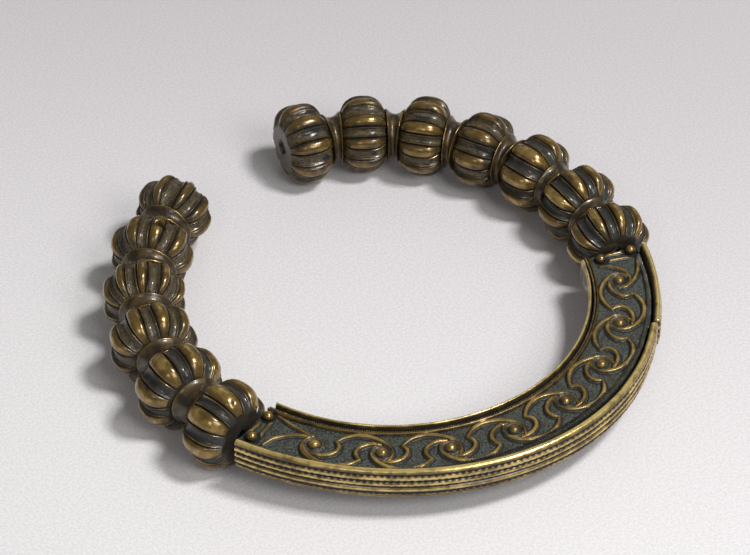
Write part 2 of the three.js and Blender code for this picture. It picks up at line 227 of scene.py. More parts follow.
class Nodes:
    """Short ways to make and join the nodes of one material."""

    def __init__(self, name):
        self.material = bpy.data.materials.new(name)
        self.material.use_nodes = True
        self.tree = self.material.node_tree
        self.shader = self.tree.nodes["Principled BSDF"]
        self.place = self.tree.nodes.new("ShaderNodeTexCoord").outputs["Object"]

    def put(self, value, socket):
        if isinstance(value, bpy.types.NodeSocket):
            self.tree.links.new(value, socket)
        else:
            socket.default_value = value

    def mark(self, name):
        node = self.tree.nodes.new("ShaderNodeAttribute")
        node.attribute_name = name
        return node.outputs["Fac"]

    def math(self, operation, a, b=0.0, clamp=False):
        node = self.tree.nodes.new("ShaderNodeMath")
        node.operation = operation
        node.use_clamp = clamp
        self.put(a, node.inputs[0])
        self.put(b, node.inputs[1])
        return node.outputs[0]

    def swing(self, share, amount):
        """How far a share from 0 to 1 is above its middle, times this amount."""
        return self.math("MULTIPLY", self.math("SUBTRACT", share, 0.5), amount)

    def noise(self, size, detail=3.0, stretch=(1, 1, 1), distortion=0.0):
        """Noise from 0 to 1 with features about this many millimetres across."""
        mapping = self.tree.nodes.new("ShaderNodeMapping")
        mapping.inputs["Scale"].default_value = stretch
        self.put(self.place, mapping.inputs["Vector"])
        node = self.tree.nodes.new("ShaderNodeTexNoise")
        self.put(mapping.outputs[0], node.inputs["Vector"])
        node.inputs["Scale"].default_value = 1 / (size * MM)
        node.inputs["Detail"].default_value = detail
        node.inputs["Distortion"].default_value = distortion
        return node.outputs["Fac"]

    def spots(self, size, low, high):
        """1 inside small round spots spread this many millimetres apart, 0 outside."""
        node = self.tree.nodes.new("ShaderNodeTexVoronoi")
        self.put(self.place, node.inputs["Vector"])
        node.inputs["Scale"].default_value = 1 / (size * MM)
        return self.ramp(node.outputs["Distance"], high, low)

    def ramp(self, value, low, high, to_low=0.0, to_high=1.0):
        node = self.tree.nodes.new("ShaderNodeMapRange")
        node.interpolation_type = "SMOOTHSTEP"
        for value_in, socket in zip((value, low, high, to_low, to_high), node.inputs):
            self.put(value_in, socket)
        return node.outputs[0]

    def mix(self, share, a, b):
        node = self.tree.nodes.new("ShaderNodeMix")
        node.data_type = "RGBA"
        self.put(share, node.inputs["Factor"])
        self.put(a, node.inputs[MIX_COLOUR_A])
        self.put(b, node.inputs[MIX_COLOUR_B])
        return node.outputs[MIX_COLOUR_RESULT]

    def bump(self, height, depth, under=None):
        """Dents of this many millimetres where height goes from 1 to 0."""
        node = self.tree.nodes.new("ShaderNodeBump")
        node.inputs["Strength"].default_value = 1.0
        node.inputs["Distance"].default_value = depth * MM
        self.put(height, node.inputs["Height"])
        if under is not None:
            self.put(under, node.inputs["Normal"])
        return node.outputs[0]


BRIGHT_BRASS = colour(178, 150, 86)
WORN_BRASS = colour(116, 92, 44)
OLIVE_BROWN = colour(84, 68, 40)
DARK_BROWN = colour(52, 43, 34)
GREY_GREEN = colour(48, 50, 45)
DARK_GREEN = colour(30, 31, 29)
DUSTY_OLIVE = colour(96, 82, 50)
DRY_BROWN = colour(54, 46, 33)
WARM_GREY = colour(72, 60, 42)
PALE_GREY_GREEN = colour(84, 90, 82)
PALE_BRASS = colour(212, 188, 116)
# Near black: painted as shade in grooves, joints, bores and holes, and the colour of small pits.
PIT_AND_SHADE_BLACK = colour(20, 19, 18)


def patinated_brass(name, rubbed_shift=0.0, film=GREY_GREEN, pitted=0.5, gloss=1.0,
                    crest=BRIGHT_BRASS):
    """Brass rubbed bright where the mark 'polish' is high, brown in between, and under a dull film of
    patina where the mark for grime and shade is high; where that mark is highest it is painted near
    black as shade. A high 'tone' makes the whole piece brighter and its film less brown."""
    nodes = Nodes(name)
    polish, grime_and_shade, tone = nodes.mark("polish"), nodes.mark("grime_and_shade"), nodes.mark("tone")
    broad = nodes.noise(11, detail=3)
    blotch = nodes.noise(3.0, detail=3, distortion=0.5)
    grain = nodes.noise(0.6, detail=3)
    fine = nodes.noise(0.22, detail=2)

    # How much bare metal shows: the relief's crests, pushed about by noise and the piece's tone.
    wear = nodes.math("ADD", polish, rubbed_shift)
    for share, amount in ((broad, 0.9), (blotch, 1.1), (grain, 0.25), (tone, 0.45)):
        wear = nodes.math("ADD", wear, nodes.swing(share, amount))
    bare = nodes.ramp(wear, 0.3, 0.85)
    bright = nodes.ramp(wear, 0.8, 1.4)

    # Where the dull film of patina sits, and where near black is painted as shade.
    film_share = nodes.ramp(nodes.math("ADD", grime_and_shade, nodes.swing(blotch, 0.7)), 0.3, 0.75)
    black_shade_share = nodes.ramp(nodes.math("ADD", grime_and_shade, nodes.math("MULTIPLY", grain, 0.12)), 0.84, 1.02)

    brown = nodes.mix(nodes.ramp(blotch, 0.35, 0.65), DARK_BROWN, OLIVE_BROWN)
    brass = nodes.mix(bright, WORN_BRASS, crest)
    body = nodes.mix(bare, brown, brass)
    greyness = nodes.ramp(tone, 0.4, 0.85)
    dusty = nodes.mix(greyness, DUSTY_OLIVE, film)
    dark = nodes.mix(greyness, DRY_BROWN, DARK_GREEN)
    mottled = nodes.mix(nodes.ramp(grain, 0.35, 0.65), dark, dusty)
    body = nodes.mix(nodes.math("MULTIPLY", film_share, nodes.ramp(bare, 0.9, 0.2)), body, mottled)
    # Painted shade: near black where the mark for grime and shade is highest.
    body = nodes.mix(black_shade_share, body, PIT_AND_SHADE_BLACK)
    specks = nodes.spots(1.7, 0.04, 0.11)
    body = nodes.mix(nodes.math("MULTIPLY", specks, 0.5), body, PIT_AND_SHADE_BLACK)
    nodes.put(body, nodes.shader.inputs["Base Color"])

    covered = nodes.math("MAXIMUM", film_share, black_shade_share)
    metallic = nodes.math("SUBTRACT", 0.6, nodes.math("MULTIPLY", covered, 0.3), clamp=True)
    nodes.put(metallic, nodes.shader.inputs["Metallic"])
    rough = nodes.ramp(bare, 0.0, 1.0, 0.46, 0.38 - 0.14 * gloss)
    rough = nodes.math("ADD", rough, nodes.math("MULTIPLY", covered, 0.2))
    rough = nodes.math("ADD", rough, nodes.swing(grain, 0.15))
    rough = nodes.math("ADD", rough, nodes.math("MULTIPLY", black_shade_share, 0.1), clamp=True)
    nodes.put(rough, nodes.shader.inputs["Roughness"])
    nodes.shader.inputs["Coat Weight"].default_value = 0.5 * gloss
    nodes.shader.inputs["Coat Roughness"].default_value = 0.14

    relief = nodes.math("ADD", nodes.math("MULTIPLY", grain, 0.7), nodes.math("MULTIPLY", fine, 0.3))
    coarse = nodes.bump(relief, 0.03 - 0.012 * gloss)
    normal = nodes.bump(nodes.math("MULTIPLY", specks, -pitted), 0.06, coarse)
    nodes.put(normal, nodes.shader.inputs["Normal"])
    return nodes.material


BEAD_BRASS = patinated_brass("patinated bead brass")
COLLAR_BRASS = patinated_brass("dark collar brass", rubbed_shift=-0.1, film=WARM_GREY)
BAR_BRASS = patinated_brass("rubbed bar brass", rubbed_shift=0.05, pitted=0.3,
                            crest=PALE_BRASS)
PLATE_BRASS = patinated_brass("stippled plate brass", rubbed_shift=-0.12,
                              film=PALE_GREY_GREEN, pitted=0.9, gloss=0.4)
RIVET_BRASS = patinated_brass("rivet brass", rubbed_shift=-0.1)

# ---------------------------------------------------------------- beads

LOBE_RISE = 1.4  # of a lobe's crest above the ground between lobes
GROOVE_WIDTH = 0.4
GROOVE_DEPTH = 0.32
RIDGE_WIDTH = 0.62
RIDGE_RISE = 0.5
CHANNEL_HALF = 1.45
CHANNEL_DEPTH = 0.6
CHANNEL_EDGE_DEPTH = 0.12
CHANNEL_SOOT = 0.72
BEAD_ROWS = 40
# Where lobes begin to round off, from the bead's middle, and where they end. On the bar's side the
# rounding begins earlier on beads with a long neck.
TIP_START = 5.6
NECK_TIP_START = 5.7
NECK_LENGTH = 1.3
TIP_END = 7.8

# Holes and pits: bead, place along its axis, angle round it, half length, half width, lean, depth.
HOLES = [
    ("bead_left_5", -0.5, 107, 2.1, 0.95, 104, 3.6),
    ("bead_left_1", -5.0, 88, 0.45, 0.45, 0, 0.6),
]


def bead_outline(along):
    """Share of the full radius that is left at a distance along the bead's axis."""
    share = np.abs(along / BEAD_HALF_LENGTH) ** BEAD_FULLNESS
    return (1 - share) ** (1 / BEAD_FULLNESS)


def rib_columns():
    """The columns over one rib, from the channel on one side to the channel on the other, as
    (side, zone, share of the zone). Zones run outwards: lobe, groove, ridge, channel."""
    half = [("lobe", share) for share in (0.17, 0.34, 0.5, 0.67, 0.84, 1)]
    half += [("groove", 0.5)]
    half += [("ridge", share) for share in (0, 0.25, 0.5, 0.75, 1)]
    half += [("channel", share) for share in (0.15, 0.4, 0.7)]
    columns = [(-1, "channel", 1.0)]
    columns += [(-1, zone, share) for zone, share in reversed(half)]
    columns += [(1, "lobe", 0.0)]
    columns += [(1, zone, share) for zone, share in half]
    return columns


RIB_COLUMNS = rib_columns()


def bore_reach(angle):
    """Distance from the axis to the wall of the square hole that stands on its corner."""
    return BORE_SIDE / math.sqrt(2) / (np.abs(np.cos(angle)) + np.abs(np.sin(angle)))


def bead_surface(size, ribs, phase, neck, random):
    """Angle, radius, polish, and grime with painted shade, over the ribbed outside of a bead, and the
    rows' places.
    """
    swing = np.linspace(-1, 1, BEAD_ROWS + 1)
    along = BEAD_HALF_CUT * np.sin(swing * math.pi / 2)
    girth = BEAD_RADIUS * size * bead_outline(along)
    girth_share = girth / (BEAD_RADIUS * size)
    period = 2 * math.pi * girth / ribs
    channel = CHANNEL_HALF * (0.75 + 0.25 * girth_share)
    ridge = RIDGE_WIDTH * (0.7 + 0.3 * girth_share)
    tip_start = np.where(along < 0, NECK_TIP_START - NECK_LENGTH * neck, TIP_START)
    tip_length = TIP_END - tip_start
    past_tip = np.clip(np.abs(along) - tip_start, 0, tip_length) / tip_length
    tip = np.sqrt(1 - past_tip ** 2)

    angles, reaches, polishes, grimes_and_shades = [], [], [], []
    for rib in range(ribs):
        middle = math.radians(phase + (rib + random.normal(0, 0.03)) * 360 / ribs)
        bend = math.radians(random.normal(0, 1.0)) * np.cos(swing * math.pi / 2)
        lobe_width = random.normal(1, 0.04)
        lobe_height = random.normal(1, 0.05)
        ridge_heights = random.uniform(0.55, 1.15, 2)
        lobe = (period / 2 - channel - ridge - GROOVE_WIDTH) * lobe_width
        lobe = np.maximum(lobe, 0.25)
        fullness = np.minimum(lobe / lobe.max(), 1) ** 0.7 * tip
        for side, zone, share in RIB_COLUMNS:
            ridge_height = ridge_heights[0 if side < 0 else 1] * (0.45 + 0.55 * tip)
            if zone == "lobe":
                lean = share * math.pi / 2
                away = lobe * math.sin(lean)
                rise = LOBE_RISE * lobe_height * fullness * math.cos(lean) ** 0.85
                polish = math.cos(lean) ** 0.9 * (0.35 + 0.65 * fullness)
                # The lobe's last column shares the groove's painted shade; the lobe is also darker
                # towards its rounded tips.
                grime_and_shade = 0.85 * (share > 0.99) + 0.8 * past_tip ** 2
            elif zone == "groove":
                away = lobe + GROOVE_WIDTH / 2
                # The narrow groove is painted near black as shade.
                rise, polish, grime_and_shade = -GROOVE_DEPTH, 0, 1
            elif zone == "ridge":
                away = lobe + GROOVE_WIDTH + ridge * share
                arch = math.sin(math.pi * share)
                rise = RIDGE_RISE * ridge_height * arch
                polish = arch ** 1.5 * ridge_height
                grime_and_shade = 1 - arch
            else:
                span = period / 2 - (lobe + GROOVE_WIDTH + ridge)
                away = lobe + GROOVE_WIDTH + ridge + span * share
                sag = math.sin(math.pi / 2 * share)
                rise = -CHANNEL_EDGE_DEPTH - (CHANNEL_DEPTH - CHANNEL_EDGE_DEPTH) * sag
                polish, grime_and_shade = 0, CHANNEL_SOOT
            angles.append(middle + bend + side * away / girth)
            reaches.append(girth - LOBE_RISE + rise)
            polishes.append(np.broadcast_to(polish, tip.shape))
            grimes_and_shades.append(np.broadcast_to(grime_and_shade, tip.shape))
    stack = [np.stack(values, axis=1) for values in (angles, reaches, polishes, grimes_and_shades)]
    return along, *stack


# Rows of an end face from its edge inwards: how far past the cut, and share of the edge's reach.
FACE_ROWS = [(0.09, 0.965), (0.13, 0.9), (0.13, 0.75), (0.13, 0.5)]
FACE_SOOT = 0.55
# Near black painted in the square bore as shade.
BORE_SHADE = 1.1


def close_bead(along, angle, reach, polish, grime_and_shade):
    """The same rows with both end faces, rounded at the edge, and the square bore added, and which
    points lie in the bore."""
    bore = bore_reach(angle[0])
    places = [BEAD_HALF_CUT + out for out, _ in FACE_ROWS]
    places = np.array(places + [BEAD_HALF_CUT + 0.1, BEAD_HALF_CUT, BEAD_HALF_CUT * 0.3])

    def end_reaches(edge):
        rows = [np.maximum(edge * share, bore + 0.3) for _, share in FACE_ROWS]
        return rows + [bore + 0.1, bore, bore]

    count = len(places)
    along = np.concatenate([-places[::-1], along, places])[:, None]
    angle = np.vstack([[angle[0]] * count, angle, [angle[-1]] * count])
    reach = np.vstack([end_reaches(reach[0])[::-1], reach, end_reaches(reach[-1])])
    added = ((count, count), (0, 0))
    in_bore = np.abs(reach - bore) < 0.15
    polish = np.pad(polish, added)
    # The bore is painted near black as shade; the end faces get a dull film.
    grime_and_shade = np.where(in_bore, BORE_SHADE, np.pad(grime_and_shade, added, constant_values=FACE_SOOT))
    return along, angle, reach, polish, grime_and_shade, in_bore


def holes_in(name, along, angle, reach):
    """For every hole and pit in this bead, how far each point is sunk, 0 to 1, and the depth."""
    found = []
    for bead, hole_along, hole_angle, length, width, lean, depth in HOLES:
        if bead == name:
            around = np.radians((np.degrees(angle) - hole_angle + 180) % 360 - 180) * reach
            ahead = along - hole_along
            slant = math.radians(lean)
            long_way = (ahead * math.cos(slant) + around * math.sin(slant)) / length
            short_way = (around * math.cos(slant) - ahead * math.sin(slant)) / width
            found.append((smoothstep(1.15, 0.85, np.hypot(long_way, short_way)), depth))
    return found


def placed(local, place):
    """Points given along, across and above a place on an arm, in the CAD frame."""
    turn = math.radians(place["direction"])
    return np.stack([
        place["x"] + local[..., 0] * math.cos(turn) - local[..., 1] * math.sin(turn),
        place["y"] + local[..., 0] * math.sin(turn) + local[..., 1] * math.cos(turn),
        BEAD_HEIGHT + local[..., 2],
    ], axis=-1)


def bead_piece(name, bead, size, ribs, phase, tone, deposit, neck, seed):
    random = np.random.default_rng(seed)
    surface = bead_surface(size, ribs, phase, neck, random)
    along, angle, reach, polish, grime_and_shade, in_bore = close_bead(*surface)
    local = np.stack(np.broadcast_arrays(
        along, reach * np.cos(angle), reach * np.sin(angle)), axis=-1)
    shift = seed * NOISE_SHIFT
    shifted = local.reshape(-1, 3) + shift

    # Streaks that run along the ribs, and crust that is thicker towards the bar.
    streaked = np.stack(np.broadcast_arrays(
        along / 5, reach * angle / 0.8, shift), axis=-1).reshape(-1, 3)
    streak = clouds(streaked, 1.0, 41, 2).reshape(reach.shape)
    polish = polish + 0.22 * streak
    grime_and_shade = grime_and_shade + 0.3 * streak * (grime_and_shade > 0.3)
    crust = smoothstep(0.0, 0.6, clouds(shifted, 3.5, 51, 3)).reshape(reach.shape)
    crust = deposit * crust * smoothstep(7, -5, along)
    grime_and_shade = grime_and_shade + 0.55 * crust
    polish = polish * (1 - 0.5 * crust)

    dents = 0.10 * clouds(shifted, 4.5, 1, 2) + 0.035 * clouds(shifted, 0.9, 4, 2)
    dents = dents.reshape(reach.shape)
    # Holes and pits are sunk in and painted near black inside as shade.
    for sunk, depth in holes_in(name, along, angle, reach):
        sunk = sunk * ~in_bore
        dents = dents - depth * sunk
        grime_and_shade = np.maximum(grime_and_shade, 1.2 * sunk)
        polish = polish * (1 - sunk)
    outward = np.stack([np.zeros(angle.shape), np.cos(angle), np.sin(angle)], axis=-1)
    points = placed(local + outward * (dents * ~in_bore)[..., None], bead)
    points[..., 2] = np.maximum(points[..., 2], 0)
    marks = dict(polish=polish, grime_and_shade=grime_and_shade, tone=np.full(grime_and_shade.shape, tone))
    piece = grid_piece(name, points, marks, BEAD_BRASS, name, wrap_rows=True)


# ---------------------------------------------------------------- collars

COLLAR_COLUMNS = 96


def collar_profile(half, rim):
    """(along, radius, polish, grime with painted shade) over one face, the outside and the other face.
    """
    waist = COLLAR_WAIST_RADIUS
    # The end faces, against the beads, darken towards the bore: a dull film, and painted near-black
    # shade.
    side = [(half, 4.0, 0.0, 0.9), (half, 6.4, 0.1, 0.8), (half - 0.02, rim - 0.42, 0.5, 0.4)]
    side += [(half - 0.12, rim - 0.14, 0.9, 0.0), (half - 0.32, rim, 1.1, 0.0)]
    side += [(half - 0.55, rim - 0.06, 0.9, 0.0), (half - 0.75, rim - 0.24, 0.4, 0.1)]
    inner = half - 0.75
    for share in (0.88, 0.74, 0.58, 0.4, 0.2):
        side.append((inner * share, waist + (rim - 0.24 - waist) * share ** 2.4, 0.4, 0.35))
    middle = [(0.0, waist, 0.4, 0.35)]
    mirrored = [(-along, radius, polish, grime_and_shade) for along, radius, polish, grime_and_shade in side]
    return mirrored + middle + side[::-1]


def collar_piece(name, link, pitch, rim, tone, seed):
    lean = math.radians(abs(link["bend"]) / 2)
    half = pitch / 2 - BEAD_HALF_CUT * math.cos(lean) - GAP
    lean = -lean if link["bend"] > 0 else lean
    angle = np.linspace(0, 2 * math.pi, COLLAR_COLUMNS, endpoint=False)
    bore = bore_reach(angle)
    # The bore is painted near black as shade.
    rows = [(-half * 0.3, bore, 0, BORE_SHADE), (-half + 0.05, bore, 0, BORE_SHADE)]
    rows += collar_profile(half, rim)
    rows += [(half - 0.05, bore, 0, BORE_SHADE), (half * 0.3, bore, 0, BORE_SHADE)]
    along, reach, polish, grime_and_shade = (
        np.stack([np.broadcast_to(row[k], angle.shape) for row in rows]) for k in range(4)
    )
    along = along + along / half * reach * np.cos(angle) * math.tan(lean)
    local = np.stack([along, reach * np.cos(angle), reach * np.sin(angle)], axis=-1)
    shifted = local.reshape(-1, 3) + seed * NOISE_SHIFT
    dents = 0.10 * clouds(shifted, 3.5, 7, 3).reshape(reach.shape)
    grow = 1 + dents / np.maximum(reach, 5)
    local[..., 1:] *= grow[..., None]
    marks = dict(polish=polish, grime_and_shade=grime_and_shade, tone=np.full(reach.shape, tone))
    piece = grid_piece(name, placed(local, link), marks, COLLAR_BRASS, name, wrap_rows=True)


def walk_arm(arm):
    """Places and directions of an arm's beads and of the links between them, as in the CAD."""
    beads, links = [], []
    x = RING_CENTRE[0] + arm["start_radius"] * math.cos(math.radians(arm["start_angle"]))
    y = RING_CENTRE[1] + arm["start_radius"] * math.sin(math.radians(arm["start_angle"]))
    heading, turn = arm["heading"], arm["first_turn"]
    for bead in range(len(arm["sizes"])):
        beads.append(dict(x=x, y=y, direction=heading - turn / 2))
        if bead < len(arm["sizes"]) - 1:
            step_x = arm["pitch"] * math.cos(math.radians(heading))
            step_y = arm["pitch"] * math.sin(math.radians(heading))
            links.append(dict(x=x + step_x / 2, y=y + step_y / 2, direction=heading, bend=turn))
            x, y = x + step_x, y + step_y
            heading += turn
            turn += arm["turn_growth"]
    return beads, links


def build_arm(arm, first_seed):
    beads, links = walk_arm(arm)
    for k, bead in enumerate(beads):
        bead_piece(f"bead_{arm['name']}_{k + 1}", bead, arm["sizes"][k], arm["ribs"][k],
                   arm["phases"][k], arm["tones"][k], arm["deposits"][k], arm["necks"][k],
                   first_seed + k)
    for k, link in enumerate(links):
        collar_piece(f"collar_{arm['name']}_{k + 1}", link, arm["pitch"], arm["rims"][k],
                     arm["collar_tones"][k], first_seed + 20 + k)


# ---------------------------------------------------------------- bar

BAR_STEPS = 840
WALL_TOP = 17.7
WALL_ROWS = 52
ZIGZAG_LENGTH = 1.9
# Near black painted as shade in the joints between the wall's rows, inside the tray and down the hidden
# sides.
JOINT_SHADE = 1.05  # in the joints and down the hidden sides


# The wall's rows from under the rim down, as shares of its height. Ropes also have a phase.
WALL_GROUND = -0.42
ROPE_BANDS = [(0.095, 0.285, 0.0), (0.325, 0.485, 0.55)]
PLAIN_BAND = (0.525, 0.675)
WAVE_BAND = (0.75, 0.87)
FOOT_BAND = (0.895, 1.02)


def place_between(low, high, value):
    """-1 at the low value, 1 at the high one."""
    return (value - (low + high) / 2) / ((high - low) / 2)


def half_round(across):
    """A half-round ridge from -1 to 1, 0 outside them."""
    return np.sqrt(np.clip(1 - across ** 2, 0, 1))


def wall_relief(depth, run):
    """Rise of the outer wall's rows and how polished they are. depth goes from 0 under the rim to 1
    at the bottom edge, run is the length along the wall."""
    rise = np.full(np.broadcast_shapes(depth.shape, run.shape), WALL_GROUND)
    polish = np.zeros(rise.shape)
    for low, high, phase in ROPE_BANDS:
        across = place_between(low, high, depth)
        dome = half_round(across)
        swing = np.abs(((run / ZIGZAG_LENGTH + phase) % 1) * 2 - 1) * 2 - 1
        strand = smoothstep(0.95, 0.5, np.abs(across - 0.3 * swing))
        rise = rise + dome * (0.32 + 0.26 * strand)
        polish = np.maximum(polish, dome ** 0.5 * (0.1 + 0.9 * strand))
    dome = half_round(place_between(*PLAIN_BAND, depth))
    rise = rise + dome * 0.62
    polish = np.maximum(polish, dome)
    across = place_between(*WAVE_BAND, depth)
    dome = half_round(across)
    wave = np.sin(2 * math.pi * run / ZIGZAG_LENGTH)
    strand = smoothstep(0.9, 0.4, np.abs(across - 0.35 * wave))
    rise = rise + dome * (0.22 + 0.3 * strand)
    polish = np.maximum(polish, dome ** 0.5 * (0.1 + 0.75 * strand))
    dome = half_round(place_between(*FOOT_BAND, depth))
    rise = rise + dome * 0.45
    polish = np.maximum(polish, dome * 0.85)
    return rise, polish


def bar_piece():
    angle = np.linspace(BAR_START, BAR_END, BAR_STEPS + 1)[:, None]
    share = (angle - BAR_START) / (BAR_END - BAR_START)
    swell = rim_swell(angle)
    run = np.radians(angle) * (RING_RADIUS + WALL_OFFSET)
    past = past_crack(angle)
    sprung = RIM_SPRING * past
    crack = np.exp(-((angle - CRACK_ANGLE) / 0.28) ** 2)
    columns = []

    def add(offset, height, polish, grime_and_shade):
        columns.append(np.broadcast_arrays(offset, height, polish, grime_and_shade, run)[:4])

    depth = np.linspace(1, 0, WALL_ROWS)[None, :]
    height = WALL_TOP + (BAR_BOTTOM - WALL_TOP) * depth
    rise, polish = wall_relief(depth, run)
    tuck = 1.5 * (np.clip(10.6 - height, 0, 9) / 3.3) ** 1.6
    offset = WALL_OFFSET + swell + sprung - tuck + rise
    # Between the rows, where polish is low, the wall is painted near black as shade.
    add(offset, height, polish, JOINT_SHADE - polish)

    round_off = np.radians(np.linspace(-12, 188, 14))[None, :]
    rim_out = 11.05 + swell + sprung
    offset = rim_out + (1.08 - 0.2 * past) * np.cos(round_off)
    height = 17.55 + 0.98 * np.sin(round_off) - 0.7 * crack
    polish = 1.15 * np.sin(np.clip(round_off, 0, math.pi)) ** 0.4 * (1 - crack)
    # The crack is darkened: a dull film, and painted shade.
    add(offset, height, polish, 0.9 * crack)

    inside = [(9.9, 17.0), (9.75, 15.5), (9.7, 12.4), (9.5, TRAY_FLOOR), (4.0, TRAY_FLOOR)]
    inside += [(-3.0, TRAY_FLOOR), (-8.5, TRAY_FLOOR), (-8.7, 12.4), (-8.75, 15.4)]
    # The inside of the tray, under the plate, is painted near black as shade.
    for place, top in inside:
        moved = swell + sprung if place > 5 else 0
        add(place + moved, top, 0, JOINT_SHADE)

    inner_rim = [(-8.8, 16.1, 0.0), (-8.95, 16.6, 0.2), (-9.15, 16.95, 1.0), (-9.4, 17.05, 1.15)]
    inner_rim += [(-9.65, 16.95, 1.1), (-9.83, 16.6, 0.9), (INNER_OFFSET, 16.0, 0.7)]
    inner_rim += [(INNER_OFFSET, 14.9, 0.6), (INNER_OFFSET, 13.4, 0.5), (INNER_OFFSET, 11.8, 0.45)]
    inner_rim += [(INNER_OFFSET, 10.2, 0.4), (INNER_OFFSET + 0.15, 9.0, 0.35)]
    inner_rim += [(INNER_OFFSET + 0.5, 8.1, 0.3), (INNER_OFFSET + 1.1, 7.5, 0.3)]
    for place, top, rubbed in inner_rim:
        add(place, top, rubbed, 0.3)
    for place in (-8.0, -3.0, 4.0, 9.0):
        add(place, BAR_BOTTOM, 0.2, 0.5)

    offset, height, polish, grime_and_shade = (np.hstack([column[k] for column in columns]) for k in range(4))
    slanted = angle + BAR_END_SLANT * share * offset
    flat = on_ring(slanted, offset, height).reshape(-1, 3)
    dents = 0.07 * clouds(flat, 6.0, 11, 2) + 0.03 * clouds(flat, 0.8, 14, 2)
    dents = dents.reshape(offset.shape)
    points = on_ring(slanted, offset + dents, height + 0.6 * dents)
    ends = np.minimum(run - run[0], run[-1] - run)
    polish = np.where(ends < 0.5, np.maximum(polish, 0.8), polish)
    marks = dict(polish=polish, grime_and_shade=grime_and_shade, tone=np.full(offset.shape, 0.75))
    piece = grid_piece("curved_bar", points, marks, BAR_BRASS, "curved_bar")


# ---------------------------------------------------------------- plate

PLATE_STEPS = 925
PLATE_COLUMNS = 93
TICK_LENGTH = 0.76
LINE_HALF_WIDTH = 0.8
LINE_RISE = 1.0
BOSS_RADIUS = 1.8
BOSS_RISE = 1.55
BOSS_RING_RADIUS = 2.55
DISH_FLOOR_RADIUS = 2.6  # of the shallow dish round a boss
DISH_RADIUS = 3.1
INNER_MILL_WIDTH = 0.75
INNER_RIDGE_END = 1.6  # from the plate's inner edge
OUTER_MILL_WIDTH = 1.75

# One line of the scroll, as lengths along the bar from a boss and distances from the middle line.
# It leaves the next boss, swings along the inner side to a sharp cusp, and turns in under the
# first boss. The other line is the same after a half turn.
SWING = [(21.6, 3.1), (22.3, 1.3), (22.2, -0.8), (21.0, -2.9), (18.6, -4.8), (15.7, -5.9),
         (12.9, -6.2), (10.2, -5.7), (8.0, -4.6), (5.9, -2.7)]
RETURN = [(5.9, -2.7), (6.9, -1.5), (7.3, 0.1), (6.5, 1.9), (4.7, 3.3), (2.6, 3.9), (0.4, 3.7)]
TWIN_SHIFT = 0.7  # the half turn's centre lies this much, halved, outside the middle line
# The loose ends past the first boss and past the last one, from that boss.
LEFT_TAILS = [
    [(-14.9, -6.4), (-10.9, -5.3), (-5.3, -3.8), (-1.5, -2.6), (1.4, -1.6), (3.0, 0.5)],
    [(-12.9, 5.8), (-11.2, 2.1), (-8.3, -0.4), (-5.2, -2.0), (-1.7, -2.5)],
    [(-2.9, -1.4), (-3.2, 0.6), (-2.7, 2.9), (-0.9, 5.0), (2.0, 6.3), (6.0, 6.9)],
]
RIGHT_TAILS = [
    [(7.5, -4.4), (7.0, -1.8), (5.4, 1.0), (3.1, 3.0), (0.7, 3.5), (-1.2, 3.1)],
    [(10.2, 8.0), (6.7, 7.2), (3.4, 6.3), (0.1, 4.6), (-2.7, 2.0), (-3.4, -0.4)],
]
# Low bands across the plate near its two ends.
LEFT_BANDS = [
    [(-18.6, 5.4), (-18.2, -2.2)],
    [(-15.3, 5.6), (-15.3, 0.8), (-15.4, -3.8), (-16.2, -5.8)],
]
RIGHT_BANDS = [[(9.6, -3.6), (10.1, 0.5), (10.4, 6.6)], [(12.6, -1.3), (13.1, 5.4)]]


def smooth_line(points, step=0.12):
    """Points close together on a smooth curve through the given ones (Catmull-Rom)."""
    points = np.array(points, float)
    if len(points) == 2:
        points = np.array([points[0], points.mean(0), points[1]])
    padded = np.vstack([2 * points[0] - points[1], points, 2 * points[-1] - points[-2]])
    pieces = []
    for a, b, c, d in zip(padded, padded[1:], padded[2:], padded[3:]):
        t = np.linspace(0, 1, max(2, int(np.linalg.norm(c - b) / step)), endpoint=False)[:, None]
        pieces.append(0.5 * (2 * b + (c - a) * t + (2 * a - 5 * b + 4 * c - d) * t ** 2
                             + (3 * b - a - 3 * c + d) * t ** 3))
    return np.vstack(pieces + [points[-1:]])


def scroll_lines():
    """Every raised line on the plate, as (points along the bar from its start, width, height)."""
    start = math.radians(PLATE_START) * RING_RADIUS
    bosses = [math.radians(SCROLL_FIRST + SCROLL_STEP * k) * RING_RADIUS - start
              for k in range(SCROLL_COUNT)]
    lines = []
    for boss in bosses[:-1]:
        for line in (SWING, RETURN):
            curve = smooth_line(line)
            twin = np.array([SCROLL_UNIT, TWIN_SHIFT]) - curve
            lines += [(curve + [boss, 0], 1.0, 1.0), (twin + [boss, 0], 1.0, 1.0)]
    loose = [(LEFT_TAILS, bosses[0], 0.8, 0.85), (RIGHT_TAILS, bosses[-1], 0.8, 0.85),
             (LEFT_BANDS, bosses[0], 0.75, 0.6), (RIGHT_BANDS, bosses[-1], 0.75, 0.6)]
    for group, boss, width, height in loose:
        lines += [(smooth_line(line) + [boss, 0], width, height) for line in group]
    return bosses, lines


